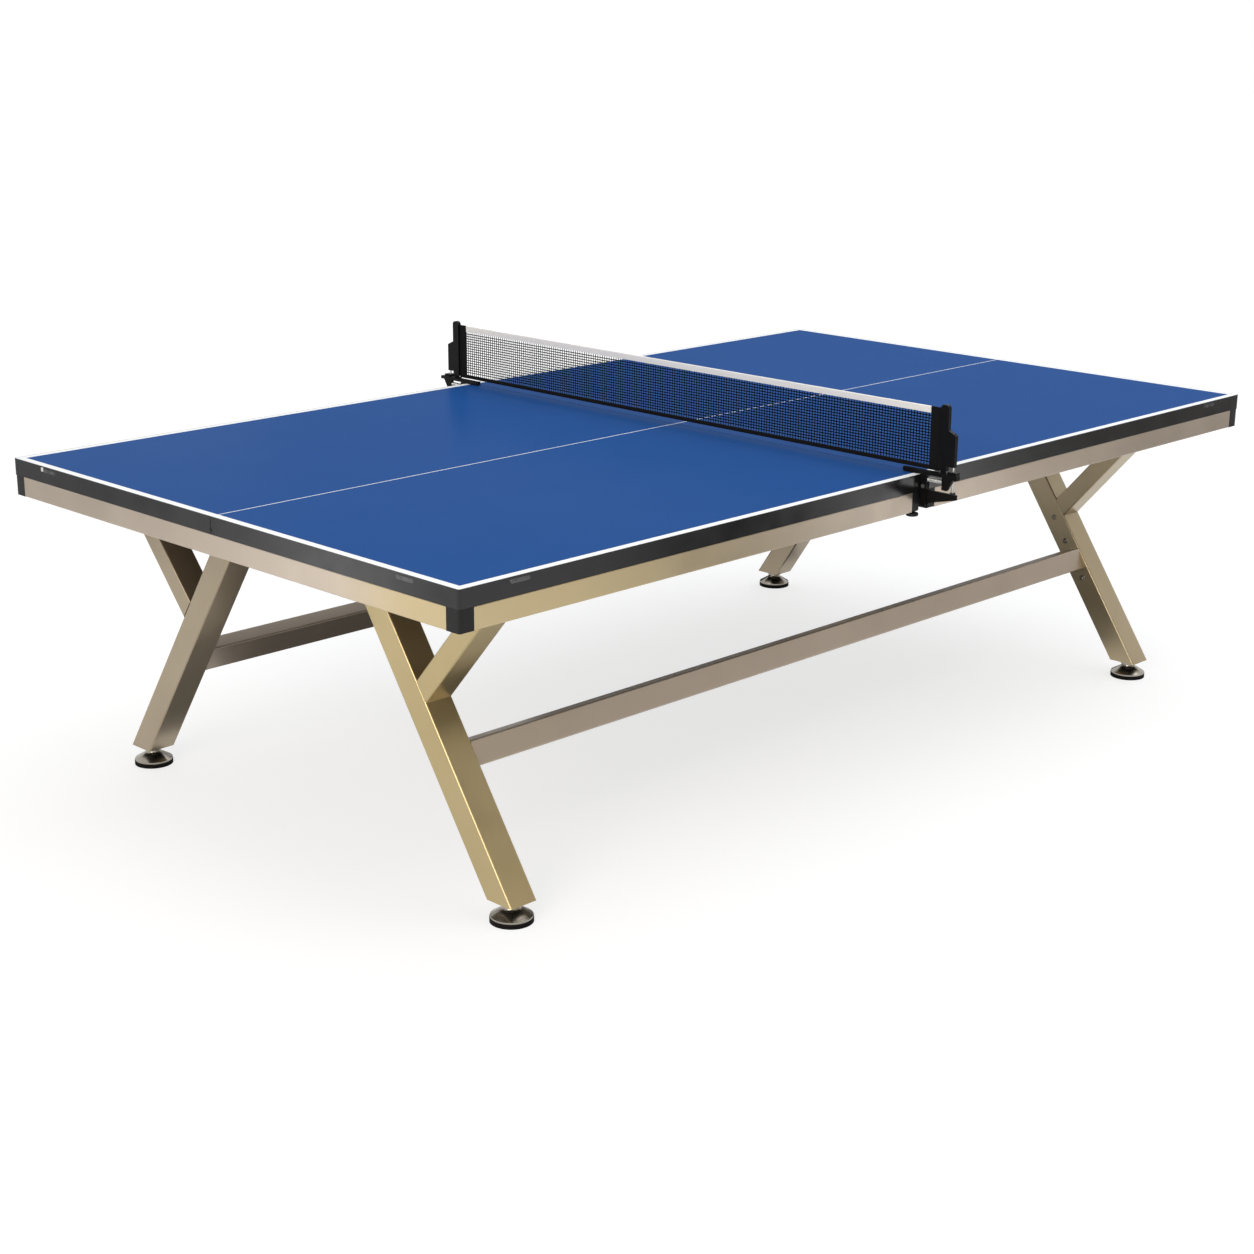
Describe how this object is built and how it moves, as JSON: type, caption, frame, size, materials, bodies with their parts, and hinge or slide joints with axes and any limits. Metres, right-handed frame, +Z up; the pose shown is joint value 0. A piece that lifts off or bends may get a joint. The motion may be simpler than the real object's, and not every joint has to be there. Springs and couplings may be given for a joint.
{
  "type": "ping pong table",
  "caption": "Full-size table tennis table: blue lined top in a dark apron, champagne frame on splayed Y legs with levelling feet, and a clamp-on net.",
  "frame": {"origin": "on the floor, under the middle of the net", "axes": "+X along the table towards the far end, +Y across it to the left, +Z up"},
  "size_m": [2.743, 1.721, 0.921],
  "materials": {
    "playing_surface": "matt blue lacquer with white lines",
    "apron_enamel": "charcoal satin enamel",
    "champagne_metal": "satin champagne metallic",
    "black_enamel": "black semi-gloss enamel",
    "black_plastic": "black, fine grained",
    "clip_steel": "satin",
    "screw_steel": "blackened",
    "plate_steel": "plain",
    "rubber": "matt black",
    "polished_steel": "turned, half polished",
    "bright_steel": "bright",
    "spring_steel": "bright wire",
    "net_mesh": "knotted black cord",
    "net_tape": "white woven tape"
  },
  "bodies": {
    "table": {"apron_clips": "clip_steel", "apron_far_left": "apron_enamel", "apron_far_right": "apron_enamel", "apron_near_left": "apron_enamel", "apron_near_right": "apron_enamel", "apron_seam_screws": "screw_steel", "board_far": "playing_surface", "board_near": "playing_surface", "brace_far_left": "champagne_metal", "brace_far_right": "champagne_metal", "brace_near_left": "champagne_metal", "brace_near_right": "champagne_metal", "centre_rail_far": "champagne_metal", "centre_rail_near": "champagne_metal", "clamp_bracket_left": "black_enamel", "clamp_bracket_right": "black_enamel", "clamp_pads": "rubber", "clamp_pins": "bright_steel", "clamp_springs": "spring_steel", "corner_cap_far_left": "black_plastic", "corner_cap_far_right": "black_plastic", "corner_cap_near_left": "black_plastic", "corner_cap_near_right": "black_plastic", "end_rail_far": "champagne_metal", "end_rail_near": "champagne_metal", "leg_beam_far": "champagne_metal", "leg_beam_near": "champagne_metal", "leg_bolts": "screw_steel", "leg_end_plates": "plate_steel", "leg_far_left": "champagne_metal", "leg_far_right": "champagne_metal", "leg_near_left": "champagne_metal", "leg_near_right": "champagne_metal", "rail_end_caps": "black_plastic", "side_rail_far_left": "champagne_metal", "side_rail_far_right": "champagne_metal", "side_rail_near_left": "champagne_metal", "side_rail_near_right": "champagne_metal", "stretcher_left": "champagne_metal", "stretcher_right": "champagne_metal"},
    "foot_near_left": {"foot_pad_near_left": "rubber"},
    "foot_screw_near_left": {"foot_stud_near_left": "polished_steel"},
    "foot_near_right": {"foot_pad_near_right": "rubber"},
    "foot_screw_near_right": {"foot_stud_near_right": "polished_steel"},
    "foot_far_left": {"foot_pad_far_left": "rubber"},
    "foot_screw_far_left": {"foot_stud_far_left": "polished_steel"},
    "foot_far_right": {"foot_pad_far_right": "rubber"},
    "foot_screw_far_right": {"foot_stud_far_right": "polished_steel"},
    "clamp_lever_left": {"clamp_lever_left": "black_enamel"},
    "clamp_lever_right": {"clamp_lever_right": "black_enamel"},
    "net_set": {"net": "net_mesh", "net_tape": "net_tape", "net_post_left": "black_enamel", "net_post_right": "black_enamel"},
    "height_screw_left": {"height_screw_left": "bright_steel", "height_knob_left": "black_plastic"},
    "height_screw_right": {"height_screw_right": "bright_steel", "height_knob_right": "black_plastic"},
    "frame_knob_left": {"frame_knob_left": "black_plastic"},
    "frame_knob_right": {"frame_knob_right": "black_plastic"}
  },
  "joints": [
    {"name": "foot_height_near_left", "type": "slide", "parent": "table", "child": "foot_near_left", "axis": [0, 0, -1], "range_m": [0, 0.02]},
    {"name": "foot_turn_near_left", "type": "hinge", "parent": "foot_near_left", "child": "foot_screw_near_left", "pos_m": [-1.133, 0.634, 0.03], "axis": [0, 0, -1], "range_deg": [0, 4120]},
    {"name": "foot_height_near_right", "type": "slide", "parent": "table", "child": "foot_near_right", "axis": [0, 0, -1], "range_m": [0, 0.02]},
    {"name": "foot_turn_near_right", "type": "hinge", "parent": "foot_near_right", "child": "foot_screw_near_right", "pos_m": [-1.133, -0.634, 0.03], "axis": [0, 0, -1], "range_deg": [0, 4120]},
    {"name": "foot_height_far_left", "type": "slide", "parent": "table", "child": "foot_far_left", "axis": [0, 0, -1], "range_m": [0, 0.02]},
    {"name": "foot_turn_far_left", "type": "hinge", "parent": "foot_far_left", "child": "foot_screw_far_left", "pos_m": [1.133, 0.634, 0.03], "axis": [0, 0, -1], "range_deg": [0, 4120]},
    {"name": "foot_height_far_right", "type": "slide", "parent": "table", "child": "foot_far_right", "axis": [0, 0, -1], "range_m": [0, 0.02]},
    {"name": "foot_turn_far_right", "type": "hinge", "parent": "foot_far_right", "child": "foot_screw_far_right", "pos_m": [1.133, -0.634, 0.03], "axis": [0, 0, -1], "range_deg": [0, 4120]},
    {"name": "clamp_squeeze_left", "type": "hinge", "parent": "table", "child": "clamp_lever_left", "pos_m": [-0.011, 0.7715, 0.735], "axis": [1, 0, 0], "range_deg": [0, 5], "stiffness_Nm_per_rad": 15, "springref_deg": -8.59},
    {"name": "clamp_squeeze_right", "type": "hinge", "parent": "table", "child": "clamp_lever_right", "pos_m": [-0.011, -0.7715, 0.735], "axis": [-1, 0, 0], "range_deg": [0, 5], "stiffness_Nm_per_rad": 15, "springref_deg": -8.59},
    {"name": "net_height", "type": "slide", "parent": "table", "child": "net_set", "axis": [0, 0, 1], "range_m": [-0.003, 0.008]},
    {"name": "height_turn_left", "type": "hinge", "parent": "table", "child": "height_screw_left", "pos_m": [0, 0.8395, 0.76], "axis": [0, 0, -1], "range_deg": [-870, 2310]},
    {"name": "height_turn_right", "type": "hinge", "parent": "table", "child": "height_screw_right", "pos_m": [0, -0.8395, 0.76], "axis": [0, 0, -1], "range_deg": [-870, 2310]},
    {"name": "frame_knob_turn_left", "type": "hinge", "parent": "table", "child": "frame_knob_left", "pos_m": [-0.029, 0.7535, 0.67], "axis": [0, 0, 1], "continuous": true},
    {"name": "frame_knob_turn_right", "type": "hinge", "parent": "table", "child": "frame_knob_right", "pos_m": [-0.029, -0.7535, 0.67], "axis": [0, 0, 1], "continuous": true}
  ],
  "couplings": [
    {"joint": "foot_turn_near_left", "follows": "foot_height_near_left", "rad_per_m": 3590.4},
    {"joint": "foot_turn_near_right", "follows": "foot_height_near_right", "rad_per_m": 3590.4},
    {"joint": "foot_turn_far_left", "follows": "foot_height_far_left", "rad_per_m": 3590.4},
    {"joint": "foot_turn_far_right", "follows": "foot_height_far_right", "rad_per_m": 3590.4},
    {"joint": "height_turn_left", "follows": "net_height", "rad_per_m": 5026.5},
    {"joint": "height_turn_right", "follows": "net_height", "rad_per_m": 5026.5}
  ]
}
